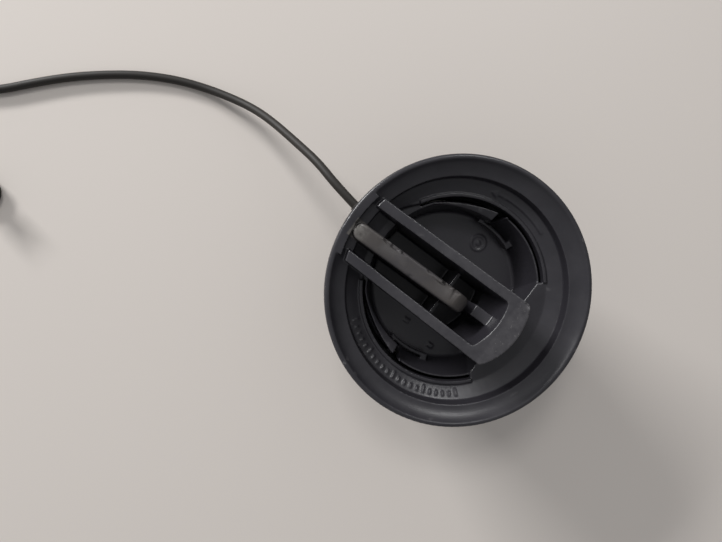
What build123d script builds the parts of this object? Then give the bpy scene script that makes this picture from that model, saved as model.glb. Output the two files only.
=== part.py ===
"""Fuel filler cap: a dished, handled cover that ratchets on a screw closure.

The cover is one black moulding: rim, sloping face ring, bowl with two finger
recesses, and an open-topped handle whose free end stands above the rim.  It snaps
into the closure and turns it through a torque ring with four spring pawls.  The
closure carries the neck gasket, the loose tether ring and the breather valve.

Millimetres, +Z up.  The origin is on the cap's axis at the foot of the closure's
skirt, which is what the cap stands on.  +X runs along the handle to its free end.
"""

import math
import os

from build123d import *

# ---------------------------------------------------------------- driving sizes
# Cover, outside
RIM_LAND = 1.3  # width of the rim's top
RIM_ROUND = 0.7  # rounding of the rim's outer corner
RIM_EDGE = 2.1  # height of the rim's outer edge
COVE_W = 4.7  # width of the cove in plan
COVE_DROP = 2.7  # from the rim down to the foot of the cove
COVE_SAG = 0.45  # how far the cove dips below a straight line
COVE_STEP = 0.3  # lean of the step between the cove and the face ring
FACE_W = 4.3  # width of the sloping face ring
FACE_DROP = 2.9  # from the foot of the cove down to the face ring
FACE_SLOPE = 2.2  # how far the face ring falls towards the bowl
SHELL = 2.2  # thickness of the cover's plate
# Lip and bowl
WALL_TOP_W = 1.2  # from the bowl's inner edge out to the lip
LIP_W = 1.0
LIP_H = 0.55
LIP_FROM = 41.0  # each lip reaches from here, beside the end block,
LIP_TO = 150.0  # round to here, beside the handle's low end
SLOT_W = 0.85  # slot between the bowl's wall and the lip
SLOT_DEPTH = 5.5
WALL_DROP = 0.8  # the bowl's wall stops this far below the face
BOWL_WALL = 1.5
BOWL_FLOOR_R = 23.1
BOWL_FLARE = 3.1  # how much wider the bowl is at its top
BOWL_DEPTH = 20.0  # from the rim down to the recess floor
FLOOR_T = 2.0
FLOOR_FILLET = 1.1
RECESS_END_GAP = 2.0  # the recesses end this far past the handle's nose
RECESS_END_ROUND = 4.0
SLOT_ARC = (8.3, 16.5)  # past its window a wall is bounded by an arc about this point
SLOT_ARC_IN = 0.7  # that passes this far inside the bowl's top circle,
RECESS_ARC = (0.0, 9.5)  # and its recess by an arc about this one
RECESS_ARC_OUT = 0.1  # that passes this far outside the bowl's foot circle
RAMP_DROP = 1.2  # the wall's top slopes this far between the two arcs
RAMP_SLOPE = 0.45
# Handle
HANDLE_Y = -2.35  # the handle stands a little to one side of the cap's axis
HANDLE_END_GAP = 4.4  # from the rim's edge in to the handle's low end
HANDLE_W = 19.9  # width over the walls at the low end
HANDLE_FLARE = 1.7  # extra width at the free end
HANDLE_WALL = 3.0
HANDLE_RISE = 8.0  # height of the free end above the rim
HANDLE_NOSE_X = 17.4
HANDLE_NOSE_R = 20.0  # plan radius of the nose
HANDLE_NOSE_Y = 1.0  # the nose is struck from a little to one side
HANDLE_CORNER = 1.2  # rounding of the end block's corners
NOSE_T = 6.6  # thickness of the end block
NOSE_INNER_R = 20.0
RIB_W = 4.9
RIB_LEFT = (-35.7, -1.2)  # rib's ends, from the handle's midline
RIB_RIGHT = (2.6, -0.4)
RIB_NOSE_R = 6.0  # the rib's inner end curves down with this radius
RIB_ROUND = 0.8
STUB_W = 3.4
STUB_X = 5.4
STUB_Y = 0.8
STUB_DROP = 4.6  # stub rib's top, below the handle's top
STUB_FALL = 3.2  # how far the stub rib's top falls to its free end
WEB_X = -1.0
WEB_T = 1.0
WEB_DROP = 10.0  # the web's top, below the rim
BRIDGE_GAP = 1.5  # from the handle's low end to the bridge on the rim
# Windows and snap fingers
WINDOW_X = -2.0
WINDOW_W = 2.8
FINGER_T = 1.1
FINGER_H = 3.2
FINGER_LIFT = 1.0  # gap under the finger
FINGER_GAP = 0.3  # gap behind the finger
FINGER_ROOT_ANGLE = 68.0
FINGER_TIP_ANGLE = 102.0
FINGER_ROOT_W = 5.0  # degrees of arc that join the finger to the wall
SNAP_W = 1.6
SNAP_H = 1.4
# Closure
SKIRT_WALL = 2.0
SKIRT_GAP = 0.5  # between the bowl's wall and the skirt
FLANGE_W = 4.1
FLANGE_T = 2.5
NECK_H = 2.2  # neck above the flange, for the tether ring
SNAP_BITE = 0.7  # how far the snap hook reaches under the closure's ledge
LEDGE_T = 1.0
FLOOR_Z = 11.2  # underside of the closure's floor
CLOSURE_FLOOR_T = 3.0
LEAD_IN = 0.8
PILOT_STEP = 0.9  # the plain pilot below the thread is this much smaller
PILOT_TOP = 4.0
# Thread
THREAD_DEPTH = 1.5
THREAD_PITCH = 12.0
THREAD_STARTS = 2
THREAD_TURNS = 0.8
THREAD_ROOT_W = 2.6
THREAD_CREST_W = 1.2
THREAD_Z = 5.8
# Ratchet
TEETH = 24
TOOTH_DEPTH = 1.3
RATCHET_H = 5.2
PAWLS = 4
PAWL_ARM_T = 1.3
PAWL_ARM_ANGLE = 46.0
PAWL_ROOT_ANGLE = 8.0
PAWL_TIP_GAP = 1.0  # degrees
PAWL_SPACE = 6.2  # from the skirt's wall in to the torque ring
RING_W = 5.4
RING_H = 7.5
DOG_W = 4.0
DOG_T = 2.4
DOG_H = 3.4
# Seals and tether
GASKET_W = 3.3
GASKET_T = 2.6
GASKET_LIP = 0.9
TETHER_RING_W = 3.0
TETHER_RING_T = 1.9
TETHER_D = 2.6
TAB_L = 5.0  # from the ring out to where the tether leaves it
TAB_W = 5.0
TETHER_ANGLE = 176.9
BOSS_R = 1.7
BOSS_L = 3.6
# Breather valve
HOUSING_R = 11.0
HOUSING_WALL = 1.3
HOUSING_FOOT = 2.0
HOUSING_FLOOR = 1.6
HOUSING_FLANGE_W = 2.2
HOUSING_FLANGE_T = 1.3
PORT_R = 5.0
SEAT_W = 1.0
SEAT_H = 0.8
SEAL_R = 7.4
SEAL_T = 1.0
PLATE_R = 8.2
PLATE_T = 1.0
PLATE_RIM = 1.0
BREATHER_HOLES = 4
BREATHER_R = 0.55
BREATHER_PCD_R = 2.1
STEM_R = 1.0
POPPET_R = 3.5
POPPET_T = 0.9
CLIP_R = 2.5
CLIP_T = 0.8
VACUUM_SPRING_H = 3.0
VACUUM_WIRE = 0.35
VACUUM_COIL_R = 1.75
VACUUM_TURNS = 4
PRESSURE_WIRE = 0.7
PRESSURE_COIL_R = 6.3
PRESSURE_TURNS = 4
RETAINER_T = 1.2
RETAINER_HOLES = 6
RETAINER_HOLE_R = 1.1
ORING_D = 1.6
# Tether anchor
ANCHOR_DISC_R = 5.5
ANCHOR_DISC_T = 2.8
ANCHOR_STEM_R = 2.4
ANCHOR_STEM_H = 3.0
ANCHOR_HEAD_R = 3.4
ANCHOR_HEAD_H = 4.2
ANCHOR_TIP_R = 1.6
ANCHOR_SLOT = 1.0
ANCHOR_LUG_L = 2.0  # from the disc's edge out to the tether's end
# Clearances
RUN = 0.15  # between pieces that turn on each other
FREE = 0.3  # beside pieces that only stand near each other

# ---------------------------------------------------------------- worked out
BOWL_TOP_R = BOWL_FLOOR_R + BOWL_FLARE
RECESS_END_X = HANDLE_NOSE_X + RECESS_END_GAP
SLOT_ARC_R = BOWL_TOP_R - SLOT_ARC_IN + math.hypot(*SLOT_ARC)
RECESS_ARC_R = BOWL_FLOOR_R + RECESS_ARC_OUT + math.hypot(*RECESS_ARC)
LIP_R = BOWL_TOP_R + WALL_TOP_W
FACE_R = LIP_R + LIP_W + FACE_W
COVE_R = FACE_R + COVE_STEP
RIM_R = COVE_R + COVE_W + RIM_LAND
HANDLE_END_R = RIM_R - HANDLE_END_GAP
SKIRT_IN_R = BOWL_TOP_R + BOWL_WALL + SKIRT_GAP
SKIRT_R = SKIRT_IN_R + SKIRT_WALL
PILOT_R = SKIRT_R - PILOT_STEP
FLANGE_R = SKIRT_R + FLANGE_W
RING_OUT_R = SKIRT_IN_R - PAWL_SPACE
RING_IN_R = RING_OUT_R - RING_W
DOG_MID_R = (RING_IN_R + RING_OUT_R) / 2 - 0.1
TAB_R = SKIRT_R + RUN + TETHER_RING_W + TAB_L
CLOSURE_FLOOR_TOP = FLOOR_Z + CLOSURE_FLOOR_T
BOWL_UNDER = CLOSURE_FLOOR_TOP + RING_H + 2 * RUN
BOWL_Z = BOWL_UNDER + FLOOR_T
RIM_Z = BOWL_Z + BOWL_DEPTH
COVE_Z = RIM_Z - COVE_DROP
FACE_Z = COVE_Z - FACE_DROP
PLATE_Z = FACE_Z - FACE_SLOPE  # flat face between the lip and the bowl
PLATE_R_OUT = LIP_R + LIP_W
BOWL_DRAFT = (BOWL_TOP_R - BOWL_FLOOR_R) / (PLATE_Z - BOWL_Z)
PLATE_UNDER = PLATE_Z - SHELL
NECK_TOP = PLATE_UNDER - RUN
FLANGE_TOP = NECK_TOP - NECK_H
FLANGE_Z = FLANGE_TOP - FLANGE_T
BIG = 120.0


def bowl_r(z):
    """Radius of the bowl's inner wall at a height."""
    return BOWL_FLOOR_R + BOWL_DRAFT * (z - BOWL_Z)


def bowl_outer_r(z):
    """Radius of the outside of the bowl's wall at a height."""
    return bowl_r(z) + BOWL_WALL


def handle_top(x):
    """Height of the handle's straight, rising top."""
    share = (x + HANDLE_END_R) / (HANDLE_NOSE_X + HANDLE_END_R)
    return RIM_Z + HANDLE_RISE * share


def handle_half(x):
    """Half of the handle's width over its walls."""
    share = (x + HANDLE_END_R) / (HANDLE_NOSE_X + HANDLE_END_R)
    return (HANDLE_W + HANDLE_FLARE * share) / 2


def polar(radius, degrees):
    """A plan point at a radius and an angle."""
    a = math.radians(degrees)
    return (radius * math.cos(a), radius * math.sin(a))


def revolved(points):
    """Turn a closed outline of (radius, height) points about the cap's axis."""
    face = make_face(Polyline(*[(r, 0, z) for r, z in points], close=True))
    return revolve(face, Axis.Z)


def tube(r_out, r_in, z_low, z_high):
    """A plain ring between two heights."""
    outline = [(r_in, z_low), (r_out, z_low), (r_out, z_high), (r_in, z_high)]
    return revolved(outline)


def prism(face, z_low, z_high):
    """Extrude a plan face between two heights."""
    return extrude(Pos(0, 0, z_low) * face, amount=z_high - z_low)


def wedge(from_angle, to_angle, reach=BIG):
    """A plan sector about the axis, less than a half turn wide."""
    mid = (from_angle + to_angle) / 2
    points = [(0, 0), polar(reach, from_angle), polar(reach, mid), polar(reach, to_angle)]
    return make_face(Polyline(*points, close=True))


def ring_sector(r_out, r_in, from_angle, to_angle, z_low, z_high):
    """Part of a ring between two angles and two heights."""
    plan = (Circle(r_out) - Circle(r_in)) & wedge(from_angle, to_angle)
    return prism(plan, z_low, z_high)


# ---------------------------------------------------------------- cover
def underside():
    """Outline points of the dish's underside, from the axis out to the rim."""
    return [
        (0, BOWL_UNDER),
        (bowl_outer_r(BOWL_UNDER), BOWL_UNDER),
        (bowl_outer_r(PLATE_UNDER), PLATE_UNDER),
        (SKIRT_R, PLATE_UNDER),
        (FACE_R + SHELL / 2, FACE_Z - SHELL),
        (COVE_R + SHELL, COVE_Z - SHELL / 2),
        (RIM_R, RIM_Z - RIM_EDGE),
    ]


def dish():
    """The turned form of the cover, with its bowl still solid."""
    under = Polyline(*[(r, 0, z) for r, z in underside()])
    top = Polyline((COVE_R, 0, COVE_Z), (FACE_R, 0, FACE_Z), (PLATE_R_OUT, 0, PLATE_Z), (0, 0, PLATE_Z))
    edge = Line((RIM_R, 0, RIM_Z - RIM_EDGE), (RIM_R, 0, RIM_Z - RIM_ROUND))
    inset = RIM_ROUND * (1 - math.sqrt(0.5))
    corner = ThreePointArc(
        (RIM_R, 0, RIM_Z - RIM_ROUND),
        (RIM_R - inset, 0, RIM_Z - inset),
        (RIM_R - RIM_ROUND, 0, RIM_Z),
    )
    land = Line((RIM_R - RIM_ROUND, 0, RIM_Z), (RIM_R - RIM_LAND, 0, RIM_Z))
    axis = Line((0, 0, PLATE_Z), (0, 0, BOWL_UNDER))
    lines = [under, edge, corner, land, cove_arc(), top, axis]
    return revolve(make_face(Curve() + lines), Axis.Z)


def above_underside():
    """All the space that the cover may fill, above its underside."""
    return revolved(underside() + [(RIM_R, BIG), (0, BIG)])


def cove_arc():
    """The hollow slope between the rim's land and the face ring."""
    outer, inner = (RIM_R - RIM_LAND, RIM_Z), (COVE_R, COVE_Z)
    mid = ((outer[0] + inner[0]) / 2 + COVE_SAG / 2, (outer[1] + inner[1]) / 2 - COVE_SAG)
    points = [(r, 0, z) for r, z in (outer, mid, inner)]
    return ThreePointArc(*points)


def handle_plan(inset, nose_x, nose_r):
    """The handle's plan outline with a rounded nose, drawn inset from its outer faces."""
    left = -RIM_R
    half_left, half_right = handle_half(left) - inset, handle_half(nose_x) - inset
    taper = make_face(
        Polyline(
            (left, half_left),
            (left, -half_left),
            (nose_x, -half_right),
            (nose_x, half_right),
            close=True,
        )
    )
    nose = Pos(nose_x - nose_r, HANDLE_NOSE_Y) * Circle(nose_r)
    beyond = Pos(nose_x - nose_r - BIG / 2, 0) * Rectangle(BIG, BIG)
    plan = taper & (nose + beyond)
    plan = fillet(plan.vertices().sort_by(Axis.X)[-2:], HANDLE_CORNER)
    return Pos(0, HANDLE_Y) * plan


def handle_outer():
    return handle_plan(0, HANDLE_NOSE_X, HANDLE_NOSE_R) & Circle(HANDLE_END_R)


def handle_inner():
    return handle_plan(HANDLE_WALL, HANDLE_NOSE_X - NOSE_T, NOSE_INNER_R)


def under_handle_top(drop=0.0):
    """Everything below the handle's rising top, as a long wedge."""
    left, right = -RIM_R - 1, RIM_R
    side = Polyline(
        (left, 0, 0),
        (right, 0, 0),
        (right, 0, handle_top(right) - drop),
        (left, 0, handle_top(left) - drop),
        close=True,
    )
    return extrude(make_face(side), amount=RIM_R, both=True)


def handle_walls():
    """The two side walls and the end block that joins them."""
    walls = prism(handle_outer() - handle_inner(), BOWL_UNDER + FLOOR_T / 2, RIM_Z + BIG / 4)
    return walls & under_handle_top()


def bowl_cone():
    """The bowl's hollow as turned, with a rounded foot."""
    top = PLATE_Z + SHELL
    cone = Pos(0, 0, (BOWL_Z + top) / 2) * Cone(bowl_r(BOWL_Z), bowl_r(top), top - BOWL_Z)
    return fillet(cone.edges().sort_by(Axis.Z)[0], FLOOR_FILLET)


def beside_handle(side):
    """Plan region beside the handle, past its outer face."""
    left, end = -RIM_R, RECESS_END_X
    wall_left = side * handle_half(left) + HANDLE_Y
    wall_end = side * handle_half(end) + HANDLE_Y
    return make_face(
        Polyline(
            (left, wall_left),
            (end, wall_end),
            (end, side * RIM_R),
            (left, side * RIM_R),
            close=True,
        )
    )


def side_disc(side, centre, radius):
    """Plan disc that bounds the wall or the recess, from the window to the low end."""
    return Pos(centre[0], -side * centre[1]) * Circle(radius)


def low_end_plan():
    """Plan region from the windows to the handle's low end."""
    return Pos(WINDOW_X - BIG / 2, 0) * Rectangle(BIG, BIG)


def finger_recess(side):
    """One recess: the bowl beside the handle, from the low end past the end block."""
    round_end = Circle(BOWL_TOP_R) & (Pos(RECESS_END_X - BIG / 2, 0) * Rectangle(BIG, BIG))
    round_end = fillet(round_end.vertices(), RECESS_END_ROUND)
    near = round_end - low_end_plan()
    far = Circle(BOWL_TOP_R) & low_end_plan() & side_disc(side, RECESS_ARC, RECESS_ARC_R)
    plan = (near + far) & beside_handle(side)
    return bowl_cone() & prism(plan, BOWL_Z, PLATE_Z + SHELL)


def ramp(side):
    """What is cut to slope the wall's top towards the recess, past the window."""
    rise = RAMP_DROP + SHELL
    slope = Cone(RECESS_ARC_R, RECESS_ARC_R + rise / RAMP_SLOPE, rise)
    place = Pos(RECESS_ARC[0], -side * RECESS_ARC[1], PLATE_Z - RAMP_DROP + rise / 2)
    keep = side_disc(side, SLOT_ARC, SLOT_ARC_R) & beside_handle(side) & low_end_plan()
    return place * slope & prism(keep, BOWL_Z, PLATE_Z + SHELL)


def slot(side):
    """The slot between a lip and the bowl's wall: wider past the window."""
    wall = Circle(LIP_R - SLOT_W) & side_disc(side, SLOT_ARC, SLOT_ARC_R)
    low, high = sorted((side * LIP_FROM, side * LIP_TO))
    plan = (Circle(LIP_R) - wall) & wedge(low, high)
    return prism(plan, PLATE_Z - SLOT_DEPTH, PLATE_Z + SHELL)


def lip(side):
    """The raised bead along the outside of a slot."""
    low, high = sorted((side * LIP_FROM, side * LIP_TO))
    return ring_sector(LIP_R + LIP_W, LIP_R, low, high, PLATE_Z - LIP_H, PLATE_Z + LIP_H)


def wall_step(side):
    """What is taken off the top of the bowl's wall, from the end block to the window."""
    low, high = sorted((side * LIP_FROM, side * 90))
    return ring_sector(LIP_R, BOWL_FLOOR_R, low, high, PLATE_Z - WALL_DROP, PLATE_Z + SHELL)


def window(side):
    """The slot down the bowl's wall that the snap hook looks out of."""
    z_low = BOWL_Z + FINGER_LIFT / 2
    near, far = BOWL_FLOOR_R - SHELL / 2, LIP_R - FREE / 2
    tall = PLATE_Z + SHELL - z_low
    return Pos(WINDOW_X, side * (near + far) / 2, z_low + tall / 2) * Box(WINDOW_W, far - near, tall)


def snap_finger(side):
    """The spring finger at the foot of a recess, with its hook."""
    z_low = BOWL_Z + FINGER_LIFT
    r_out = bowl_r(z_low) - FINGER_GAP
    tip, root = side * FINGER_TIP_ANGLE, side * FINGER_ROOT_ANGLE
    joined = side * (FINGER_ROOT_ANGLE + FINGER_ROOT_W)
    arc = ring_sector(r_out, r_out - FINGER_T, min(tip, root), max(tip, root), z_low, z_low + FINGER_H)
    anchor = ring_sector(
        bowl_outer_r(z_low) - BOWL_WALL / 2,
        r_out - FINGER_T,
        min(root, joined),
        max(root, joined),
        z_low,
        z_low + FINGER_H,
    )
    hook_r = SKIRT_IN_R - FREE * 2
    reach = hook_r - r_out + FINGER_T / 2
    hook = Pos(WINDOW_X, side * (hook_r - reach / 2), z_low + SNAP_H / 2) * Box(SNAP_W, reach, SNAP_H)
    return arc + anchor + hook


def middle_rib():
    """The long rib inside the handle; its inner end curves down."""
    (x1, y1), (x2, y2) = RIB_LEFT, RIB_RIGHT
    length = math.hypot(x2 - x1, y2 - y1)
    angle = math.degrees(math.atan2(y2 - y1, x2 - x1))
    bar = SlotOverall(length, RIB_W)
    plan = Pos((x1 + x2) / 2, (y1 + y2) / 2 + HANDLE_Y) * Rot(0, 0, angle) * bar
    slope = math.atan2(HANDLE_RISE, HANDLE_NOSE_X + HANDLE_END_R)
    bend = x2 + FREE - RIB_NOSE_R * (1 + math.sin(slope))
    low_x, top = x1 - RIB_W, handle_top(bend)
    hub = (x2 + FREE - RIB_NOSE_R, top - RIB_NOSE_R * math.cos(slope))
    half_turn = (math.pi / 2 + slope) / 2
    mid = (hub[0] + RIB_NOSE_R * math.cos(half_turn), 0, hub[1] + RIB_NOSE_R * math.sin(half_turn))
    end = (x2 + FREE, 0, hub[1])
    nose = ThreePointArc(end, mid, (bend, 0, top))
    rest = Polyline((bend, 0, top), (low_x, 0, handle_top(low_x)), (low_x, 0, 0), (x2 + FREE, 0, 0), end)
    side = extrude(make_face(Curve() + [nose, rest]), amount=RIM_R, both=True)
    rib = prism(plan, BOWL_UNDER + FLOOR_T / 2, RIM_Z + BIG / 4) & side
    low_z = RIM_Z - RIB_NOSE_R
    upper = rib.edges().filter_by(lambda e: min((e @ 0).Z, (e @ 1).Z) > low_z)
    return fillet(upper, RIB_ROUND)


def stub_rib():
    """The short rib that stiffens the end block; its top falls to its free end."""
    right = HANDLE_NOSE_X - NOSE_T / 2
    high = handle_top(right) - STUB_DROP
    low, foot = high - STUB_FALL, BOWL_Z - FLOOR_T / 2
    mid = ((STUB_X + right) / 2, 0, (low + high) / 2 - STUB_FALL / 5)
    top = ThreePointArc((right, 0, high), mid, (STUB_X, 0, low))
    rest = Polyline((STUB_X, 0, low), (STUB_X, 0, foot), (right, 0, foot), (right, 0, high))
    rib = extrude(make_face(Curve() + [top, rest]), amount=STUB_W / 2, both=True)
    return Pos(0, HANDLE_Y + STUB_Y) * rib


def cross_web():
    """The thin web across the middle of the handle."""
    width = 2 * (handle_half(WEB_X) - HANDLE_WALL / 2)
    top = RIM_Z - WEB_DROP
    tall = top - BOWL_Z + FLOOR_T / 2
    return Pos(WEB_X, HANDLE_Y, top - tall / 2) * Box(WEB_T, width, tall)


def rim_bridge():
    """The wide land on the rim that faces the handle's low end."""
    plan = Circle(RIM_R - RIM_LAND / 2) - Circle(HANDLE_END_R + BRIDGE_GAP)
    strip = Pos(-RIM_R / 2, HANDLE_Y) * Rectangle(RIM_R, HANDLE_W - 0.8)
    return prism(plan & strip, COVE_Z, RIM_Z)


def drive_dogs():
    """Four lugs under the bowl that turn the torque ring."""
    dogs = Part()
    for k in range(PAWLS):
        dog = Pos(DOG_MID_R, 0, BOWL_UNDER - DOG_H / 2) * Box(DOG_T, DOG_W, DOG_H)
        dogs += Rot(0, 0, 360 / PAWLS * k) * dog
    return dogs


def make_cover():
    """Rim, face ring, bowl and handle in one moulding."""
    body = dish() - (bowl_cone() & prism(handle_inner(), BOWL_Z, PLATE_Z + SHELL))
    for side in (1, -1):
        body -= finger_recess(side) + ramp(side) + slot(side) + (wall_step(side) - handle_solid())
    body += (handle_walls() + middle_rib() + stub_rib() + cross_web()) & above_underside()
    body += rim_bridge()
    for side in (1, -1):
        body += lip(side)
        body -= window(side)
        body += snap_finger(side)
    return body + drive_dogs()


def handle_solid():
    """The handle's whole envelope, kept clear of the cuts beside it."""
    return prism(handle_outer(), BOWL_UNDER, RIM_Z + BIG / 4)


# ---------------------------------------------------------------- closure
LEDGE_Z = BOWL_Z + FINGER_LIFT + SNAP_H + RUN
LEDGE_R = SKIRT_IN_R - FREE * 2 - SNAP_BITE
TOOTH_TIP_R = SKIRT_IN_R - TOOTH_DEPTH
PITCH = 360 / TEETH
HOUSING_BORE_R = HOUSING_R + RUN
ORING_SEAT_R = HOUSING_R + ORING_D + 0.1
ORING_SEAT_Z = CLOSURE_FLOOR_TOP - ORING_D - 0.05


def closure_outline():
    """Half section of the closure: skirt, flange, neck, ledge and floor."""
    return [
        (HOUSING_BORE_R, FLOOR_Z),
        (SKIRT_IN_R, FLOOR_Z),
        (SKIRT_IN_R, 0),
        (PILOT_R - LEAD_IN, 0),
        (PILOT_R, LEAD_IN),
        (PILOT_R, PILOT_TOP),
        (SKIRT_R, PILOT_TOP + PILOT_STEP / 2),
        (SKIRT_R, FLANGE_Z),
        (FLANGE_R, FLANGE_Z),
        (FLANGE_R, FLANGE_TOP),
        (SKIRT_R, FLANGE_TOP),
        (SKIRT_R, NECK_TOP),
        (SKIRT_IN_R, NECK_TOP),
        (SKIRT_IN_R, LEDGE_Z + LEDGE_T * 2),
        (LEDGE_R, LEDGE_Z + LEDGE_T),
        (LEDGE_R, LEDGE_Z),
        (SKIRT_IN_R, LEDGE_Z),
        (SKIRT_IN_R, CLOSURE_FLOOR_TOP),
        (ORING_SEAT_R, CLOSURE_FLOOR_TOP),
        (ORING_SEAT_R, ORING_SEAT_Z),
        (HOUSING_BORE_R, ORING_SEAT_Z),
    ]


def thread_start(angle):
    """One start of the closure's coarse thread."""
    path = Helix(THREAD_PITCH, THREAD_PITCH * THREAD_TURNS, SKIRT_R)
    root, crest = SKIRT_R - RUN, SKIRT_R + THREAD_DEPTH
    rib = make_face(
        Polyline(
            (root, 0, -THREAD_ROOT_W / 2),
            (crest, 0, -THREAD_CREST_W / 2),
            (crest, 0, THREAD_CREST_W / 2),
            (root, 0, THREAD_ROOT_W / 2),
            close=True,
        )
    )
    return Rot(0, 0, angle) * Pos(0, 0, THREAD_Z) * sweep(rib, path=path, is_frenet=True)


def ratchet_teeth():
    """Saw teeth round the inside of the skirt, above the floor."""
    points = []
    for k in range(TEETH):
        points += [polar(TOOTH_TIP_R, k * PITCH), polar(SKIRT_IN_R, k * PITCH)]
    saw = make_face(Polyline(*points, close=True))
    teeth = Circle(SKIRT_IN_R + SKIRT_WALL / 2) - saw
    return prism(teeth, CLOSURE_FLOOR_TOP - RUN, CLOSURE_FLOOR_TOP + RATCHET_H)


def make_closure():
    """The screw plug that closes the filler neck."""
    body = revolved(closure_outline()) + ratchet_teeth()
    for k in range(THREAD_STARTS):
        body += thread_start(360 / THREAD_STARTS * k)
    return body


def make_torque_ring():
    """Ring that the cover's lugs turn, with spring pawls in the ratchet teeth."""
    z_low = CLOSURE_FLOOR_TOP + RUN
    z_high = BOWL_UNDER - RUN
    ring = tube(RING_OUT_R, RING_IN_R, z_low, z_high)
    arm_out = TOOTH_TIP_R - FREE
    for k in range(PAWLS):
        ring += Rot(0, 0, 360 / PAWLS * k) * pawl(arm_out, z_low)
    slot_h = DOG_H + FREE
    slot = Box(DOG_T + 2 * RUN, DOG_W + 2 * RUN, slot_h)
    for k in range(PAWLS):
        ring -= Rot(0, 0, 360 / PAWLS * k) * Pos(DOG_MID_R, 0, BOWL_UNDER - slot_h / 2) * slot
    return ring


def pawl(arm_out, z_low):
    """One curved spring arm with its tooth between two ratchet teeth."""
    z_high = z_low + RATCHET_H - FREE
    start = PAWL_TIP_GAP
    tip = PITCH - 2 * PAWL_TIP_GAP
    root = tip + PAWL_ARM_ANGLE
    arm = ring_sector(arm_out, arm_out - PAWL_ARM_T, start, root, z_low, z_high)
    anchor = ring_sector(arm_out, RING_OUT_R - 1, root - PAWL_ROOT_ANGLE, root, z_low, z_high)
    tooth = make_face(
        Polyline(
            polar(arm_out - PAWL_ARM_T / 2, start),
            polar(SKIRT_IN_R - FREE, start),
            polar(arm_out, tip),
            polar(arm_out - PAWL_ARM_T / 2, tip),
            close=True,
        )
    )
    return arm + anchor + prism(tooth, z_low, z_high)


# ---------------------------------------------------------------- seals and tether
TETHER_Z = FLANGE_TOP + RUN + TETHER_RING_T / 2
# Corner points of the tether: from its ring down to the ground, along it, and round to
# the anchor.
TETHER_ROUTE = [
    (*polar(TAB_R, TETHER_ANGLE), TETHER_Z),
    (-45.7, 3.3, 31.6),
    (-54.0, 5.7, 27.6),
    (-61.3, 6.9, 21.8),
    (-73.6, 8.6, 12.6),
    (-82.9, 8.5, 6.2),
    (-95.4, 5.6, 2.0),
    (-106.0, 1.3, 1.4),
    (-115.4, -4.4, 1.4),
    (-123.5, -10.8, 1.4),
    (-131.8, -18.5, 1.4),
    (-139.1, -26.7, 1.4),
    (-145.8, -35.0, 1.4),
    (-153.5, -41.8, 1.4),
    (-162.5, -47.1, 1.4),
    (-167.4, -56.1, 1.4),
    (-165.6, -66.0, 1.4),
    (-158.0, -72.7, 1.4),
    (-148.0, -73.3, 1.4),
    (-139.2, -68.4, 1.4),
]


def make_neck_gasket():
    """Rubber wedge ring under the closure's flange."""
    inner = SKIRT_R + FREE / 10
    return revolved(
        [
            (inner, FLANGE_Z),
            (inner + GASKET_W, FLANGE_Z),
            (inner + GASKET_W + 0.3, FLANGE_Z - GASKET_LIP),
            (inner + GASKET_W / 2, FLANGE_Z - GASKET_T),
            (inner, FLANGE_Z - GASKET_T),
        ]
    )


def route_radii(points):
    """The arc at each corner: 0.45 of its shorter run over the tangent of half the turn."""
    radii = []
    for before, here, after in zip(points, points[1:], points[2:]):
        run_in, run_out = Vector(here) - Vector(before), Vector(after) - Vector(here)
        half_turn = math.radians(run_in.get_angle(run_out)) / 2
        radii.append(0.45 * min(run_in.length, run_out.length) / math.tan(half_turn))
    return radii


def lug(end, inward, radius, length):
    """A round boss whose flat face meets the tether's end."""
    plane = Plane(origin=end, z_dir=inward)
    return extrude(plane * Circle(radius), amount=length)


def make_tether_ring():
    """The loose ring on the closure's neck, with the boss that the tether leaves by."""
    z_low = TETHER_Z - TETHER_RING_T / 2
    inner = SKIRT_R + RUN
    outer = inner + TETHER_RING_W
    ring = tube(outer, inner, z_low, z_low + TETHER_RING_T)
    half_angle = math.degrees(TAB_W / 2 / outer)
    tab_end = TAB_R - BOSS_L + TAB_W / 4
    tab = ring_sector(
        tab_end,
        outer - RUN,
        TETHER_ANGLE - half_angle,
        TETHER_ANGLE + half_angle,
        z_low,
        z_low + TETHER_RING_T,
    )
    first, second = Vector(TETHER_ROUTE[0]), Vector(TETHER_ROUTE[1])
    return ring + tab + lug(first, first - second, BOSS_R, BOSS_L)


def make_tether_strap():
    """The round cord between the ring and the anchor."""
    path = FilletPolyline(*TETHER_ROUTE, radius=route_radii(TETHER_ROUTE))
    section = Plane(origin=path @ 0, z_dir=path % 0) * Circle(TETHER_D / 2)
    return sweep(section, path=path)


def anchor_centre():
    """Plan position and heading of the anchor's disc, beyond the tether's end."""
    last, before = Vector(TETHER_ROUTE[-1]), Vector(TETHER_ROUTE[-2])
    onward = (last - before).normalized()
    return last + onward * (ANCHOR_DISC_R + ANCHOR_LUG_L), onward


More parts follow.
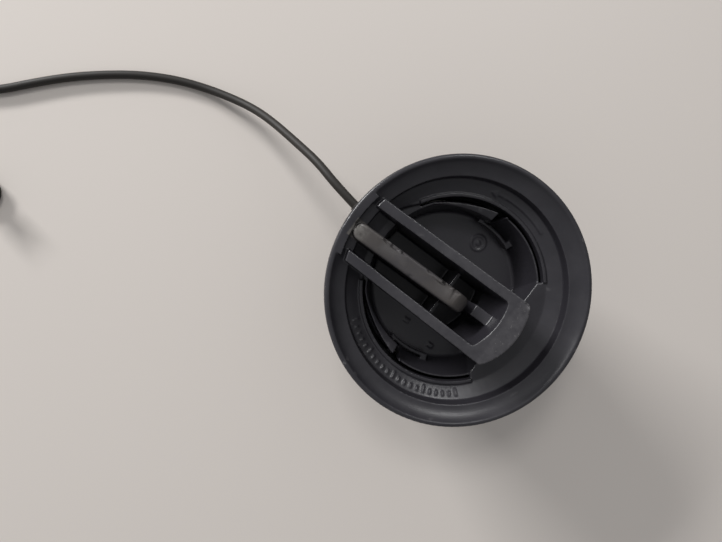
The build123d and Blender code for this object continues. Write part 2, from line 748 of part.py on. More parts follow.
def make_tether_anchor():
    """Push-in anchor: a disc with a split, barbed pin."""
    centre, onward = anchor_centre()
    stem_top = ANCHOR_DISC_T + ANCHOR_STEM_H
    tip = stem_top + ANCHOR_HEAD_H
    pin = revolved(
        [
            (0, 0),
            (ANCHOR_DISC_R, 0),
            (ANCHOR_DISC_R, ANCHOR_DISC_T),
            (ANCHOR_STEM_R, ANCHOR_DISC_T),
            (ANCHOR_STEM_R, stem_top),
            (ANCHOR_HEAD_R, stem_top),
            (ANCHOR_TIP_R, tip),
            (0, tip),
        ]
    )
    split = Pos(0, 0, stem_top - ANCHOR_STEM_H / 3 + BIG / 2)
    pin -= split * Box(ANCHOR_SLOT, BIG, BIG)
    centre = Vector(centre.X, centre.Y, 0)
    heading = math.degrees(math.atan2(onward.Y, onward.X))
    pin = Pos(*centre) * Rot(0, 0, heading) * pin
    reach = ANCHOR_LUG_L + ANCHOR_DISC_R / 2
    return pin + lug(TETHER_ROUTE[-1], onward, ANCHOR_DISC_T / 2, reach)


# ---------------------------------------------------------------- breather valve
HOUSING_FLOOR_TOP = HOUSING_FOOT + HOUSING_FLOOR
SEAT_Z = HOUSING_FLOOR_TOP + SEAT_H
PLATE_LOW = SEAT_Z + SEAL_T
PLATE_TOP = PLATE_LOW + PLATE_T
BORE_R = HOUSING_R - HOUSING_WALL
CLIP_Z = PLATE_TOP + VACUUM_SPRING_H
RETAINER_TOP = CLOSURE_FLOOR_TOP - 0.4
RETAINER_Z = RETAINER_TOP - RETAINER_T


def make_valve_housing():
    """The cup that hangs through the closure's floor and carries the valve."""
    flange_r = HOUSING_R + HOUSING_FLANGE_W
    flange_z = CLOSURE_FLOOR_TOP
    return revolved(
        [
            (PORT_R, HOUSING_FOOT),
            (HOUSING_R, HOUSING_FOOT),
            (HOUSING_R, flange_z),
            (flange_r, flange_z),
            (flange_r, flange_z + HOUSING_FLANGE_T),
            (BORE_R, flange_z + HOUSING_FLANGE_T),
            (BORE_R, HOUSING_FLOOR_TOP),
            (PORT_R + SEAT_W, HOUSING_FLOOR_TOP),
            (PORT_R + SEAT_W, SEAT_Z),
            (PORT_R, SEAT_Z),
        ]
    )


def make_housing_oring():
    """The ring that seals the housing in the closure's floor."""
    wire = ORING_D / 2
    centre = (HOUSING_R + ORING_SEAT_R) / 2
    section = Plane.XZ * Pos(centre, ORING_SEAT_Z + wire) * RegularPolygon(wire, 8)
    return revolve(section, Axis.Z)


def breather_holes(z_low, z_high):
    """The ring of small holes that the vacuum poppet closes."""
    holes = Part()
    for place in PolarLocations(BREATHER_PCD_R, BREATHER_HOLES):
        tall = z_high - z_low
        holes += Pos(0, 0, z_low + tall / 2) * place * Cylinder(BREATHER_R, tall + 1)
    return holes


def make_pressure_seal():
    """Rubber disc that closes on the housing's seat."""
    disc = tube(SEAL_R, STEM_R + RUN, SEAT_Z, PLATE_LOW)
    return disc - breather_holes(SEAT_Z, PLATE_LOW)


def make_pressure_plate():
    """Stiff plate that the pressure spring pushes down on the seal."""
    plate = tube(PLATE_R, STEM_R + RUN, PLATE_LOW, PLATE_TOP)
    rim = tube(PLATE_R, PLATE_R - PLATE_RIM, PLATE_LOW, PLATE_TOP + PLATE_RIM)
    return plate + rim - breather_holes(PLATE_LOW, PLATE_TOP)


def make_vacuum_valve():
    """Poppet below the seal, on a stem that passes up through the plate."""
    return revolved(
        [
            (0, SEAT_Z - POPPET_T),
            (POPPET_R, SEAT_Z - POPPET_T),
            (POPPET_R, SEAT_Z),
            (STEM_R, SEAT_Z),
            (STEM_R, CLIP_Z + CLIP_T),
            (0, CLIP_Z + CLIP_T),
        ]
    )


def make_vacuum_clip():
    """Push-on clip that holds the vacuum spring on the stem."""
    return tube(CLIP_R, STEM_R, CLIP_Z, CLIP_Z + CLIP_T)


def coil(radius, wire, turns, z_low, z_high):
    """A compression spring of round wire between two seats."""
    height = z_high - z_low - wire
    path = Helix(height / turns, height, radius)
    section = Plane(origin=path @ 0, z_dir=path % 0) * RegularPolygon(wire / 2, 6)
    return Pos(0, 0, z_low + wire / 2) * sweep(section, path=path, is_frenet=True)


def make_vacuum_spring():
    """Light spring that holds the poppet up against the seal."""
    return coil(VACUUM_COIL_R, VACUUM_WIRE, VACUUM_TURNS, PLATE_TOP, CLIP_Z)


def make_pressure_spring():
    """Spring between the pressure plate and the retainer."""
    return coil(PRESSURE_COIL_R, PRESSURE_WIRE, PRESSURE_TURNS, PLATE_TOP, RETAINER_Z)


def make_spring_retainer():
    """Pierced disc pressed into the housing above the pressure spring."""
    disc = Pos(0, 0, RETAINER_Z + RETAINER_T / 2) * Cylinder(BORE_R, RETAINER_T)
    for place in PolarLocations(BORE_R / 2, RETAINER_HOLES):
        disc -= Pos(0, 0, RETAINER_Z) * place * Cylinder(RETAINER_HOLE_R, BIG / 10)
    return disc


# ---------------------------------------------------------------- export
PIECES = {
    "cover": make_cover,
    "torque_ring": make_torque_ring,
    "closure": make_closure,
    "neck_gasket": make_neck_gasket,
    "tether_ring": make_tether_ring,
    "tether_strap": make_tether_strap,
    "tether_anchor": make_tether_anchor,
    "valve_housing": make_valve_housing,
    "housing_oring": make_housing_oring,
    "pressure_seal": make_pressure_seal,
    "pressure_plate": make_pressure_plate,
    "pressure_spring": make_pressure_spring,
    "vacuum_valve": make_vacuum_valve,
    "vacuum_clip": make_vacuum_clip,
    "vacuum_spring": make_vacuum_spring,
    "spring_retainer": make_spring_retainer,
}

os.makedirs("parts", exist_ok=True)
print("tether arc radii", [round(r, 1) for r in route_radii(TETHER_ROUTE)])
for node, make in PIECES.items():
    export_step(make(), f"parts/{node}.step")
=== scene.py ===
# %% [markdown]
# # A fuel filler cap
# This lesson dresses a screw cap for a fuel tank: a dished black cover with an open,
# ribbed handle, the threaded closure under it, and the thin tether that trails away.
# The solids come ready made and stay where they are.  Each cell adds one thing: the
# camera, the cord, the marks, the softened mouldings with their chips, the plastics and
# the spring wire, and last the floor and the light.

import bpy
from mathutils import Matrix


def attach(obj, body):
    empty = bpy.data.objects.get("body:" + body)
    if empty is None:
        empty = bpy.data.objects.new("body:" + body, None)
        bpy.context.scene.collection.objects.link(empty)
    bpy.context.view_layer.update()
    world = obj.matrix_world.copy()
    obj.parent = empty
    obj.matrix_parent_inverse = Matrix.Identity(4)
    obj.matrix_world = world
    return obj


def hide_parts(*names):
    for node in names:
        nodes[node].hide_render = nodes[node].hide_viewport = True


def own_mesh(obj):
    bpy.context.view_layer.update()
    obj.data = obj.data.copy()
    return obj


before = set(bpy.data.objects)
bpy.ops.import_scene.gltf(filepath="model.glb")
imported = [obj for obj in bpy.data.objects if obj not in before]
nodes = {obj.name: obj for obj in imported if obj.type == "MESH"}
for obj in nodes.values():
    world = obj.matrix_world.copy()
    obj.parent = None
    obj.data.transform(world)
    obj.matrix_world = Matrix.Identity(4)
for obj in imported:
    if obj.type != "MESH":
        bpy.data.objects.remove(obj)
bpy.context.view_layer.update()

import math

import bmesh
import bpy
from mathutils import Matrix, Vector, noise

scene = bpy.context.scene
MM = 0.001
print("pieces in the frame:", len(nodes))

# %% [markdown]
# ## Camera
# The cap is seen from above and a little to one side, from only about 0.2 m away, so the
# near side of the rim looks larger than the far side.  A camera can be aimed with a
# constraint; here its axes are written out, which also fixes its roll.  The lens comes
# from the frame's width in pixels and the focal length in the same unit.

# %% Camera
FOCAL_PX, WIDTH_PX = 565, 722
SENSOR = 36  # millimetres
EYE = (-53.07, -11.27, 196.17)  # millimetres
camera_data = bpy.data.cameras.new("camera")
camera_data.sensor_width = SENSOR
camera_data.lens = FOCAL_PX / WIDTH_PX * SENSOR
camera_data.clip_start = 0.005
camera = bpy.data.objects.new("camera", camera_data)
scene.collection.objects.link(camera)
scene.camera = camera
right = Vector((0.78715, 0.60269, 0.13104)).normalized()
forward = Vector((0.16800, -0.00508, -0.98577)).normalized()
down = forward.cross(right).normalized()
turn = Matrix((right, -down, -forward)).transposed()
camera.matrix_world = Matrix.Translation(Vector(EYE) * MM) @ turn.to_4x4()
print("lens", round(camera_data.lens, 2), "mm")

# %% [markdown]
# ## The tether's cord
# The tether is one thin, springy plastic cord.  It leaves its ring below the rim, arches
# down to the table, lies along it in one long lazy bow and turns back to its anchor.
# A mesh tube could be swept along it, but a NURBS curve needs no more than its control
# points, and passes smoothly inside each corner.  A bevel of one metre gives it its round
# section, and each point's radius scales that down to the cord's, so the curve's own box
# stays as thin as the cord.

# %% Cord
ROUTE = [
    (-38.29, 2.07, 32.75),
    (-45.7, 3.3, 31.6),
    (-54.0, 5.7, 27.6),
    (-61.3, 6.9, 21.8),
    (-73.6, 8.6, 12.6),
    (-82.9, 8.5, 6.2),
    (-95.4, 5.6, 2.0),
    (-106.0, 1.3, 1.4),
    (-115.4, -4.4, 1.4),
    (-123.5, -10.8, 1.4),
    (-131.8, -18.5, 1.4),
    (-139.1, -26.7, 1.4),
    (-145.8, -35.0, 1.4),
    (-153.5, -41.8, 1.4),
    (-162.5, -47.1, 1.4),
    (-167.4, -56.1, 1.4),
    (-165.6, -66.0, 1.4),
    (-158.0, -72.7, 1.4),
    (-148.0, -73.3, 1.4),
    (-139.2, -68.4, 1.4),
]
CORD_D = 2.6  # millimetres


def cord_curve(name, route, diameter):
    """A round cord along one smooth spline; each point's radius is the cord's own."""
    data = bpy.data.curves.new(name, "CURVE")
    data.dimensions = "3D"
    data.bevel_depth = 1.0
    data.bevel_resolution = 6
    data.resolution_u = 16
    data.use_fill_caps = True
    line = data.splines.new("NURBS")
    line.points.add(len(route) - 1)
    for point, place in zip(line.points, route):
        point.co = (*(c * MM for c in place), 1)
        point.radius = diameter / 2 * MM
    line.order_u = 3
    line.use_endpoint_u = True
    piece = bpy.data.objects.new(name, data)
    scene.collection.objects.link(piece)
    return piece


cord = cord_curve("tether_cord", ROUTE, CORD_D)
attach(cord, "tether")
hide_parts("tether_strap")
print("cord points", len(ROUTE))

# %% [markdown]
# ## Writing materials as sums
# A finish is a calculation that is made at every point of a surface.  Blender keeps it
# as nodes, but it reads better as ordinary maths, so `Field` wraps a socket and lets
# `+`, `-`, `*` and `/` add the Math nodes.  Everything else goes through `node`.


# %% A wrapper for sockets
class Field:
    """A value on a surface that can be written in an expression."""

    tree = None

    def __init__(self, socket):
        self.socket = socket

    @classmethod
    def node(cls, kind, output=0, settings=None, **inputs):
        """Add one node: its settings first, then its sockets, and give back one output."""
        made = cls.tree.nodes.new("ShaderNode" + kind)
        for key, value in (settings or {}).items():
            if key == "stops":
                cls.set_stops(made.color_ramp, value)
            else:
                setattr(made, key, value)
        for key, value in inputs.items():
            cls.feed(cls.find(made, key), value)
        return cls(made.outputs[output])

    @staticmethod
    def find(made, key):
        """A socket by its name in plain lower case, or by its number as in i2."""
        if key[0] == "i" and key[1:].isdigit():
            return made.inputs[int(key[1:])]
        wanted = key.replace("_", " ").lower()
        return next(s for s in made.inputs if s.name.lower() == wanted)

    @classmethod
    def feed(cls, socket, value):
        if isinstance(value, Field):
            cls.tree.links.new(value.socket, socket)
        else:
            socket.default_value = value

    @staticmethod
    def set_stops(ramp, stops):
        while len(ramp.elements) < len(stops):
            ramp.elements.new(0.5)
        for element, (place, value) in zip(ramp.elements, stops):
            element.position = place
            element.color = (value, value, value, 1)

    def maths(self, operation, other=0.0, swap=False):
        a, b = (other, self) if swap else (self, other)
        return Field.node("Math", settings={"operation": operation}, i0=a, i1=b)

    def __add__(self, other):
        return self.maths("ADD", other)

    def __sub__(self, other):
        return self.maths("SUBTRACT", other)

    def __mul__(self, other):
        return self.maths("MULTIPLY", other)

    def __truediv__(self, other):
        return self.maths("DIVIDE", other)

    def __rsub__(self, other):
        return self.maths("SUBTRACT", other, swap=True)

    __radd__, __rmul__ = __add__, __mul__

    def clamp(self):
        return self.maths("MINIMUM", 1.0).maths("MAXIMUM", 0.0)

    def ramp(self, low, high):
        """0 below low, 1 above high, and straight between; low may be the larger."""
        return ((self - low) / (high - low)).clamp()


print("Field is ready")

# %% [markdown]
# ## Softening the mouldings
# A moulded plastic piece has no knife edges: the tool's corners leave a radius of a few
# tenths of a millimetre.  A bevel modifier struggles with crossing ribs, so each solid
# is wrapped in a fine voxel skin and smoothed a little, which rounds every edge alike.
# Raised marks are dropped into the same skin, so they grow out of the surface.  A skin as
# fine as that has far more faces than flat places need, so Decimate drops the spare ones.


# %% Softening helper
WELD = 1e-7  # metres: points nearer than this are one


def soften(node, name, voxel, rounds, keep, marks=()):
    """A copy of a solid, its marks fused on, its edges rounded and spare faces dropped."""
    shape = bmesh.new()
    for mesh in (nodes[node].data, *marks):
        shape.from_mesh(mesh)
    bmesh.ops.remove_doubles(shape, verts=shape.verts, dist=WELD)
    raw = bpy.data.meshes.new(name)
    shape.to_mesh(raw)
    shape.free()
    piece = bpy.data.objects.new(name, raw)
    scene.collection.objects.link(piece)
    skin = piece.modifiers.new("skin", "REMESH")
    skin.mode = "VOXEL"
    skin.voxel_size = voxel * MM
    skin.use_smooth_shade = True
    ease = piece.modifiers.new("ease", "SMOOTH")
    ease.factor = 0.5
    ease.iterations = rounds
    thin = piece.modifiers.new("thin", "DECIMATE")
    thin.ratio = keep
    seen = piece.evaluated_get(bpy.context.evaluated_depsgraph_get())
    piece.data = bpy.data.meshes.new_from_object(seen)
    piece.modifiers.clear()
    piece.data.materials.clear()
    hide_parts(node)
    piece.data.shade_smooth()
    print(name, len(piece.data.polygons), "faces")
    return piece


print("weld distance", WELD, "m")

# %% [markdown]
# ## Marks on the cover
# Caps like this carry raised signs on the sloping ring beside the finger recesses.  Here
# they are plain ones: an arrow for the way to turn on one side, and a row of ticks on the
# other, with a ring and two short bars on the floors of the recesses.  A font would be one
# way; here each mark is a small prism whose top follows the surface it grows from.

# %% Mark helpers
FACE_IN, FACE_OUT = (28.4, 36.2), (32.7, 38.4)  # the ring's radius and height at its edges
FLOOR_Z = 24.0  # height of the recess floor
SUNK = 0.7  # how far a mark reaches into the moulding


def face_height(radius):
    """Height of the sloping ring at a radius."""
    share = (radius - FACE_IN[0]) / (FACE_OUT[0] - FACE_IN[0])
    return FACE_IN[1] + share * (FACE_OUT[1] - FACE_IN[1])


def floor_height(radius):
    """Height of the recess floor, which is level."""
    return FLOOR_Z


def round_place(radius, degrees):
    """A point of the plan by its radius and its angle."""
    a = math.radians(degrees)
    return radius * math.cos(a), radius * math.sin(a)


def prism_mark(plan, height_at, lift):
    """A closed prism over a plan outline, sunk into the surface below it."""
    shape = bmesh.new()
    top, foot = [], []
    for x, y in plan:
        z = height_at(math.hypot(x, y))
        top.append(shape.verts.new((x * MM, y * MM, (z + lift) * MM)))
        foot.append(shape.verts.new((x * MM, y * MM, (z - SUNK) * MM)))
    count = len(plan)
    shape.faces.new(top)
    shape.faces.new(foot[::-1])
    for i in range(count):
        j = (i + 1) % count
        shape.faces.new((foot[i], foot[j], top[j], top[i]))
    bmesh.ops.recalc_face_normals(shape, faces=shape.faces)
    mesh = bpy.data.meshes.new("mark")
    shape.to_mesh(mesh)
    shape.free()
    return mesh


def arc_mark(radius, width, start, end, height_at, lift, step=3.0):
    """A run of short prisms along an arc."""
    count = max(1, round(abs(end - start) / step))
    turn_by = (end - start) / count
    run = []
    for i in range(count):
        a, b = start + i * turn_by, start + (i + 1) * turn_by
        plan = [
            round_place(radius - width / 2, a),
            round_place(radius + width / 2, a),
            round_place(radius + width / 2, b),
            round_place(radius - width / 2, b),
        ]
        run.append(prism_mark(plan, height_at, lift))
    return run


def ring_mark(centre, outer, inner, lift, parts=24):
    """A raised ring on the recess floor, as a closed fan of short prisms."""
    ring = []
    for i in range(parts):
        a, b = math.tau * i / parts, math.tau * (i + 1) / parts
        plan = [
            (centre[0] + r * math.cos(t), centre[1] + r * math.sin(t))
            for r, t in ((inner, a), (outer, a), (outer, b), (inner, b))
        ]
        ring.append(prism_mark(plan, floor_height, lift))
    return ring


print("the ring rises", round(face_height(FACE_OUT[0]) - face_height(FACE_IN[0]), 2), "mm")

# %% Arrow and ticks on the ring
LIFT = 0.24  # height of a mark above the ring
ARROW_R, ARROW_W = 30.5, 0.5
ARROW_START, ARROW_HEAD, ARROW_TIP = 70, 104, 108  # degrees
marks = arc_mark(ARROW_R, ARROW_W, ARROW_START, ARROW_HEAD, face_height, LIFT)
corners = ((ARROW_R + 1, ARROW_HEAD), (ARROW_R - 1, ARROW_HEAD), (ARROW_R, ARROW_TIP))
head = [round_place(radius, angle) for radius, angle in corners]
marks.append(prism_mark(head, face_height, LIFT))
TICKS, FIRST_TICK, TICK_STEP, TICK_W = 21, -128, 3.8, 0.9  # a count, then degrees
LONG_TICK, SHORT_TICK, TICK_END = 29.6, 30.3, 31.5  # radii
for i in range(TICKS):
    angle = FIRST_TICK + i * TICK_STEP
    inner = LONG_TICK if i % 5 == 0 else SHORT_TICK
    middle, length = (inner + TICK_END) / 2, TICK_END - inner
    marks += arc_mark(middle, length, angle, angle + TICK_W, face_height, LIFT)
print("marks on the ring", len(marks))

# %% Ring and bars on the recess floors
FLOOR_LIFT = 0.28  # height of a mark above the recess floor
SPOT = (0.8, 17.2)
marks += ring_mark(SPOT, 2.6, 2.0, FLOOR_LIFT)
marks += ring_mark(SPOT, 0.7, 0.1, FLOOR_LIFT)
BARS, BAR_HALF = ((8.5, -17.8), (-2.7, -15.9)), (0.9, 0.6)
for x, y in BARS:
    signs = ((-1, -1), (1, -1), (1, 1), (-1, 1))
    plan = [(x + i * BAR_HALF[0], y + j * BAR_HALF[1]) for i, j in signs]
    marks.append(prism_mark(plan, floor_height, FLOOR_LIFT))
print("marks in all", len(marks))

# %% [markdown]
# ## The cover and its chips
# The handle's middle rib has been chipped along its top edge, and the end block has lost
# a little at its corners.  Sculpting could do it by hand; here a chip is a short dent in
# code: the points near it sink by an uneven amount, most at its middle.

# %% Cover
cover = soften("cover", "cover_moulding", 0.25, 3, 0.22, marks)
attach(cover, "cover")


# %% Where the rib and the handle's top are
LOW_END, HIGH_END = (-34.6, 44.0), (17.4, 52.0)  # x and height at the handle's two ends
RIB_LOW, RIB_HIGH = (-35.7, -3.55), (2.6, -2.75)  # x and y at the two ends of the midline


def along(x, start, end):
    """The value at x on the straight line between two ends."""
    return start[1] + (end[1] - start[1]) * (x - start[0]) / (end[0] - start[0])


print("rib's midline at x = 0:", round(along(0, RIB_LOW, RIB_HIGH), 2), "mm")


# %% Chips
LUMP_SIZE = 1.1  # millimetres between the lumps in a chip
LUMP_MEAN, LUMP_SWING = 0.8, 0.7  # share of the depth, and how much it varies
STEEPNESS = 1.8  # how soon a chip gets from its edge to its full depth


def knock(piece, centre, reach, depth, seed):
    """Sink the skin's points near a place, with a rough edge."""
    middle = Vector(centre) * MM
    for point in piece.data.vertices:
        near = 1 - ((point.co - middle) / (reach * MM)).length
        if near > 0:
            spot = point.co / (LUMP_SIZE * MM) + Vector((seed, 0, 0))
            lump = LUMP_MEAN + LUMP_SWING * noise.noise(spot)
            point.co.z -= depth * MM * min(1, near * STEEPNESS) * max(0, lump)


# each row: x, distance to the side of the midline, reach and depth
RIB_CHIPS = (
    (-26.4, 2.3, 1.5, 0.9),
    (-23.8, 2.4, 1.9, 1.0),
    (-20.9, 2.4, 1.2, 0.6),
    (-6.3, 2.3, 2.0, 1.1),
    (-3.6, 2.5, 1.6, 0.9),
    (-12.4, 2.5, 1.0, 0.5),
    (-35.4, 1.2, 1.6, 0.5),
    (-15.8, -2.4, 1.1, 0.4),
)
for seed, (x, aside, reach, depth) in enumerate(RIB_CHIPS):
    spot = (x, along(x, RIB_LOW, RIB_HIGH) + aside, along(x, LOW_END, HIGH_END))
    knock(cover, spot, reach, depth, seed)
BLOCK_CHIPS = ((17.8, 5.2), (18.0, -8.6), (14.2, 8.2), (18.9, 0.6))  # x and y
BLOCK_REACH, BLOCK_DEPTH = 1.2, 0.45
for seed, (x, y) in enumerate(BLOCK_CHIPS, 20):
    knock(cover, (x, y, along(x, LOW_END, HIGH_END)), BLOCK_REACH, BLOCK_DEPTH, seed)
print("chips", len(RIB_CHIPS) + len(BLOCK_CHIPS))

# %% [markdown]
# ## The other mouldings
# The closure under the cover, the tether's ring and its anchor are plain mouldings.  They
# could keep their sharp solids, but those would look wrong beside the cover, so they take
# the same skin.  The anchor is the fitting on the cord's end.

# %% Closure and tether
closure = soften("closure", "closure_moulding", 0.3, 2, 0.25)
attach(closure, "closure")

collar = soften("tether_ring", "tether_collar", 0.18, 2, 0.3)
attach(collar, "tether")

anchor = soften("tether_anchor", "tether_pin", 0.14, 2, 0.4)
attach(anchor, "tether")

# %% [markdown]
# ## Black plastic
# Every moulding that shows is a carbon black plastic.  It is not even: the skin has a fine
# grain, up-facing places hold a film of dust, and edges are rubbed a little lighter.  A
# painted image could carry all that; here it is summed from noise fields and from the
# surface's own direction, so it has no seams and works at any size.


# %% Material helpers
def begin(name):
    """A material with an empty tree but for its shader and output."""
    material = bpy.data.materials.new(name)
    material.use_nodes = True
    Field.tree = material.node_tree
    Field.tree.nodes.clear()
    out = Field.tree.nodes.new("ShaderNodeOutputMaterial")
    shader = Field.tree.nodes.new("ShaderNodeBsdfPrincipled")
    Field.tree.links.new(shader.outputs[0], out.inputs[0])
    return material, shader


def place():
    """Where a point lies, in millimetres."""
    coords = Field.node("TexCoord", output=3)
    return Field.node("VectorMath", settings={"operation": "SCALE"}, i0=coords, scale=1000.0)


def grain(where, scale, detail=2.0, roughness=0.5):
    """Soft noise from 0 to 1; scale is about how many lumps a millimetre holds."""
    return Field.node("TexNoise", vector=where, scale=scale, detail=detail, roughness=roughness)


def blend(mask, low, high):
    """Mix two colours by a mask."""
    settings = {"data_type": "RGBA"}
    return Field.node("Mix", output=2, settings=settings, i0=mask, i6=low, i7=high)


def grey(value, warm=0.0):
    """A near-black with a touch of warmth or, below zero, of blue."""
    return (value * (1 + warm), value, value * (1 - warm), 1)


def axes(where):
    """The three numbers of a vector, each as a field."""
    made = Field.node("SeparateXYZ", vector=where)
    outs = made.socket.node.outputs
    return Field(outs[0]), Field(outs[1]), Field(outs[2])


def bumpy(height, strength, distance):
    """A surface direction that follows a height, with its depth in millimetres."""
    return Field.node("Bump", strength=strength, distance=distance * MM, height=height)


print("material helpers are ready")


# %% Plastic finish
def black_plastic(name, tone, rough, dusty, rubbed, warm=-0.05):
    """Moulded plastic, black where the tone is low: grain, a film of dust, rubbed edges."""
    material, shader = begin(name)
    where = place()
    fine = grain(where, 2.2, 3.0)
    cloud = grain(where, 0.12, 4.0, 0.6)
    normal = Field.node("NewGeometry", output=1)
    up = axes(normal)[2].ramp(0.2, 1.0)
    corner = Field.node("NewGeometry", output=7)
    edge = corner.ramp(0.515, 0.56) * cloud.ramp(0.35, 0.65)
    dust = up * cloud.ramp(0.35, 0.75) * dusty
    colour = blend(dust.clamp(), grey(tone, warm), grey(tone * 3.0, 0.02))
    colour = blend((edge * rubbed).clamp(), colour, grey(tone * 4.5, 0.03))
    Field.feed(shader.inputs["Base Color"], colour)
    Field.feed(shader.inputs["Roughness"], rough + 0.14 * cloud + 0.1 * dust)
    Field.feed(shader.inputs["Normal"], bumpy(fine, 0.2, 0.05))
    return material


print("plastic finish is ready")

# %% [markdown]
# ## The cover's wear
# The cover has had the hardest life, so it gets its own finish on top of that recipe.
# The middle rib is where fingers pull: it is browned by dirt and rubbed bright at its
# low end.  The tops of the walls and of the end block are scuffed, and the outer edge of
# the rim carries pale nicks.  Vertex paint could hold them, but its detail ends at the
# mesh's own points.  Here each is a mask worked out from where a point lies.  The floors
# of the two recesses are lightened too, partly as a film of dust and partly as painted
# light that stands in for the light falling on them.


# %% Where the cover wears, and where its recess floors take painted light
HANDLE_Y = -2.35  # the handle's midline
RIB_Y, RIB_LEAN = -2.80, 0.0209  # the rib's midline where x is 0, and how it leans, rounded


def within(value, low, high, soft):
    """1 between low and high, and fading to 0 over a soft distance outside."""
    return value.ramp(low - soft, low) * value.ramp(high + soft, high)


def wear_and_light_masks(x, y, z, up):
    """Masks for the rib, tops, end block and rim, and for the bowl floor's dust and painted
    light.
    """
    beside = y - RIB_Y - RIB_LEAN * x
    rib = within(beside, -2.6, 2.6, 0.2) * within(x, -36.4, 3.6, 0.3) * z.ramp(30.0, 40.0)
    top = z.ramp(46.0, 47.5) * up * (1 - rib)
    block = within(x, 12.5, 24.0, 0.8) * z.ramp(49.0, 50.5) * up
    radius = (x * x + y * y).maths("SQRT")
    rim = radius.ramp(37.2, 38.2) * z.ramp(42.0, 43.2)
    aside = (y - HANDLE_Y) * (y - HANDLE_Y)
    # the bowl floor's mask carries a dust film and painted light
    bowl = within(z, 22.0, 25.0, 1.5) * aside.ramp(100.0, 130.0) * up
    return rib, top, block, rim, bowl


print("the rib leans", RIB_LEAN, "mm aside for each millimetre along")

# %% Cover finish
COVER_BLACK, COVER_DUST = (0.0235, 0.0222, 0.0265, 1), (0.060, 0.057, 0.063, 1)
# the bowl floors' colour is partly a dust film and partly painted light on the recess floors
BOWL_DUST_AND_LIGHT = (0.054, 0.051, 0.059, 1)
RIB_DIRT, RIB_BRIGHT = (0.054, 0.0465, 0.042, 1), (0.12, 0.113, 0.105, 1)
SCUFFED, RUBBED = (0.070, 0.067, 0.072, 1), (0.15, 0.145, 0.148, 1)
NICKED = (0.36, 0.34, 0.32, 1)


def cover_plastic():
    """Blue-black plastic with a browned rib, scuffed tops and a nicked rim."""
    material, shader = begin("cover_black")
    where = place()
    x, y, z = axes(where)
    fine = grain(where, 2.2, 3.0)
    cloud = grain(where, 0.12, 4.0, 0.6)
    smear = grain(where, 0.5, 5.0, 0.65)
    speck = grain(where, 1.7, 1.0)
    up = axes(Field.node("NewGeometry", output=1))[2].ramp(0.2, 1.0)
    edge = Field.node("NewGeometry", output=7).ramp(0.52, 0.57)
    rib, top, block, rim, bowl = wear_and_light_masks(x, y, z, up)
    dust = up * cloud.ramp(0.35, 0.75) * 0.3
    colour = blend(dust.clamp(), COVER_BLACK, COVER_DUST)
    # painted light: the recess floors are lightened, partly a dust film, partly standing in for
    # the light on them
    colour = blend((bowl * 0.8).clamp(), colour, BOWL_DUST_AND_LIGHT)
    ends = (x.ramp(-22.0, -33.0) + x.ramp(-14.0, -2.0)).clamp()
    dirt = rib * (0.3 + 0.4 * ends + 0.3 * smear.ramp(0.3, 0.7)) * (0.35 + 0.65 * up)
    colour = blend(dirt.clamp(), colour, RIB_DIRT)
    worn = rib * x.ramp(-31.0, -33.5) * smear.ramp(0.38, 0.55) * up
    colour = blend((0.7 * worn).clamp(), colour, RIB_BRIGHT)
    scuff = (top * 0.35 + block * 0.4) * (0.4 + 0.6 * smear.ramp(0.35, 0.65))
    colour = blend(scuff.clamp(), colour, SCUFFED)
    rubbed = edge * smear.ramp(0.42, 0.62) * (0.25 + 0.45 * rim + 0.5 * block)
    colour = blend(rubbed.clamp(), colour, RUBBED)
    nicks = speck.ramp(0.69, 0.73) * (0.9 * rim * edge.ramp(0.0, 0.3) + 0.18 * block)
    colour = blend(nicks.clamp(), colour, NICKED)
    Field.feed(shader.inputs["Base Color"], colour)
    rough = 0.25 + 0.12 * cloud + 0.1 * dust + 0.2 * rib + 0.18 * scuff
    Field.feed(shader.inputs["Roughness"], rough)
    bumps = fine + 1.6 * smear * (rib + block).clamp()
    Field.feed(shader.inputs["Normal"], bumpy(bumps, 0.22, 0.06))
    return material


cover_finish = cover_plastic()
print("the cover's finish has", len(cover_finish.node_tree.nodes), "nodes")

# %% The other moulded finishes
closure_finish = black_plastic("closure_black", 0.016, 0.34, 0.2, 0.3)
tether_finish = black_plastic("tether_black", 0.009, 0.52, 0.1, 0.1, 0.3)
rubber_finish = black_plastic("seal_rubber", 0.012, 0.6, 0.5, 0.1)
# the same recipe with a pale tone is the cream acetal of the inner pieces
natural_finish = black_plastic("natural_acetal", 0.5, 0.4, 0.1, 0.1, 0.06)
cover.data.materials.append(cover_finish)
closure.data.materials.append(closure_finish)
collar.data.materials.append(tether_finish)
anchor.data.materials.append(tether_finish)
cord.data.materials.append(tether_finish)
print("the tether's finish has", len(tether_finish.node_tree.nodes), "nodes")


# %% [markdown]
# ## Springs
# Two wire springs close the breather valve.  When a valve opens, its spring shortens, and
# a stiff one would cut through its seat.  Shape keys could shorten it; here a copy rides
# with the valve.


# %% Spring wire
def spring_steel():
    """Bright drawn wire, with faint lines of colour along it."""
    material, shader = begin("spring_wire")
    lines = grain(place(), 2.0, 2.0)
    Field.feed(shader.inputs["Base Color"], blend(lines, grey(0.42), grey(0.62)))
    Field.feed(shader.inputs["Metallic"], 1.0)
    Field.feed(shader.inputs["Roughness"], 0.22 + 0.12 * lines)
    return material


wire_finish = spring_steel()
print("the wire's finish has", len(wire_finish.node_tree.nodes), "nodes")


# %% Coils
def coil(node, name, body):
    """A copy of a spring that rides with its valve's body and takes the wire finish."""
    piece = bpy.data.objects.new(name, nodes[node].data.copy())
    scene.collection.objects.link(piece)
    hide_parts(node)
    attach(piece, body)
    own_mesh(piece)
    piece.data.materials.clear()
    piece.data.materials.append(wire_finish)


coil("pressure_spring", "pressure_coil", "pressure_valve")
coil("vacuum_spring", "vacuum_coil", "vacuum_valve")

# %% [markdown]
# ## Inner pieces
# The seals, the valve and the torque ring sit under the cover and hardly show.  They could
# be made anew as the mouldings were, but their solids have the right shape, so they stay
# and only take a finish: rubber, the closure's plastic, or the cream acetal of the pieces
# that slide.

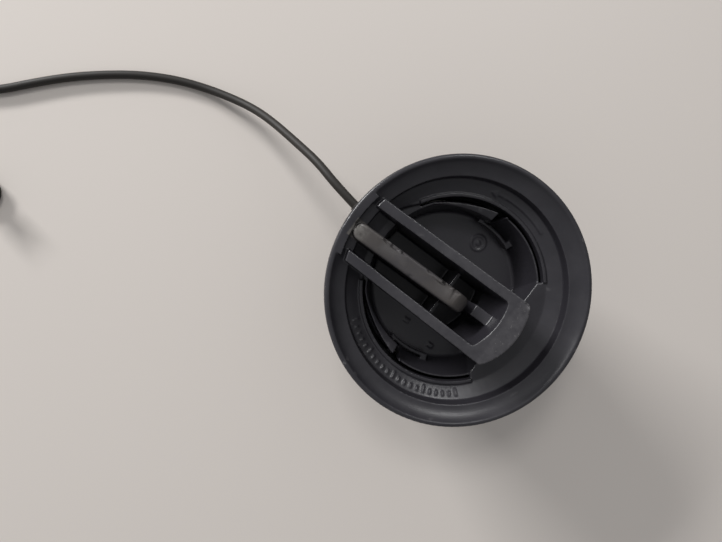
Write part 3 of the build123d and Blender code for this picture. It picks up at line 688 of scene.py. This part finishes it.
# %% Inner finishes
for names, finish in (
    (("neck_gasket", "housing_oring", "pressure_seal"), rubber_finish),
    (("valve_housing",), closure_finish),
    (
        ("torque_ring", "pressure_plate", "vacuum_valve", "vacuum_clip", "spring_retainer"),
        natural_finish,
    ),
):
    for name in names:
        for piece_slot in nodes[name].material_slots:
            piece_slot.material = finish
print("materials", len(bpy.data.materials))

# %% [markdown]
# ## Floor and light
# The cap stands on a plain pale table in window light.  One broad lamp stands low beyond
# the handle's low end and throws the long soft shadow.  A second, higher one is kept out
# of the gloss, and a strip shows in the gloss alone.  A surrounding image could light it
# all, but lamps are easier to place one by one.  The sky fills the rest, and is brighter
# on the window's side.

# %% Floor
floor_mesh = bpy.data.meshes.new("floor")
half = 1.5  # metres from the middle to each side
floor_mesh.from_pydata(
    [(-half, -half, 0), (half, -half, 0), (half, half, 0), (-half, half, 0)], [], [(0, 1, 2, 3)]
)
floor = bpy.data.objects.new("floor", floor_mesh)
scene.collection.objects.link(floor)
floor_material, floor_shader = begin("pale_table")
Field.feed(floor_shader.inputs["Base Color"], (0.700, 0.647, 0.600, 1))
Field.feed(floor_shader.inputs["Roughness"], 0.55)
floor_mesh.materials.append(floor_material)
print("floor", 2 * half, "m wide")


# %% Light
def lamp(name, azimuth, elevation, distance, wide, high, watts, aim=(0, 0, 30)):
    """A soft rectangular lamp that looks at a point of the cap."""
    data = bpy.data.lights.new(name, "AREA")
    data.shape = "RECTANGLE"
    data.size, data.size_y = wide, high
    data.energy = watts
    piece = bpy.data.objects.new(name, data)
    scene.collection.objects.link(piece)
    a, e = math.radians(azimuth), math.radians(elevation)
    way = Vector((math.cos(a) * math.cos(e), math.sin(a) * math.cos(e), math.sin(e)))
    target = Vector(aim) * MM
    piece.location = target + way * distance
    piece.rotation_euler = (-way).to_track_quat("-Z", "Y").to_euler()
    return piece


lamp("window", 170, 20, 1.6, 0.58, 0.19, 23.5)
high = lamp("high_window", 152, 53, 0.9, 0.22, 0.18, 1.5)
high.visible_glossy = False
strip = lamp("strip", 96, 48, 0.9, 0.3, 0.14, 1.5)
strip.visible_diffuse = False
print("the high window is", round(high.location.z, 2), "m up")

# %% Sky
world = bpy.data.worlds.new("sky")
world.use_nodes = True
Field.tree = world.node_tree
sky = Field.tree.nodes["Background"]
sky.inputs[0].default_value = (0.97, 0.98, 1.0, 1)
SKY_MEAN, SKY_SWING = 0.36, 0.16
away = axes(Field.node("TexCoord"))[0]  # -1 on the window's side, 1 on the other
Field.feed(sky.inputs[1], SKY_MEAN - SKY_SWING * away)
scene.world = world
scene.view_settings.view_transform = "Standard"
print("sky from", SKY_MEAN - SKY_SWING, "to", SKY_MEAN + SKY_SWING)

# %% Finish
bpy.context.view_layer.update()
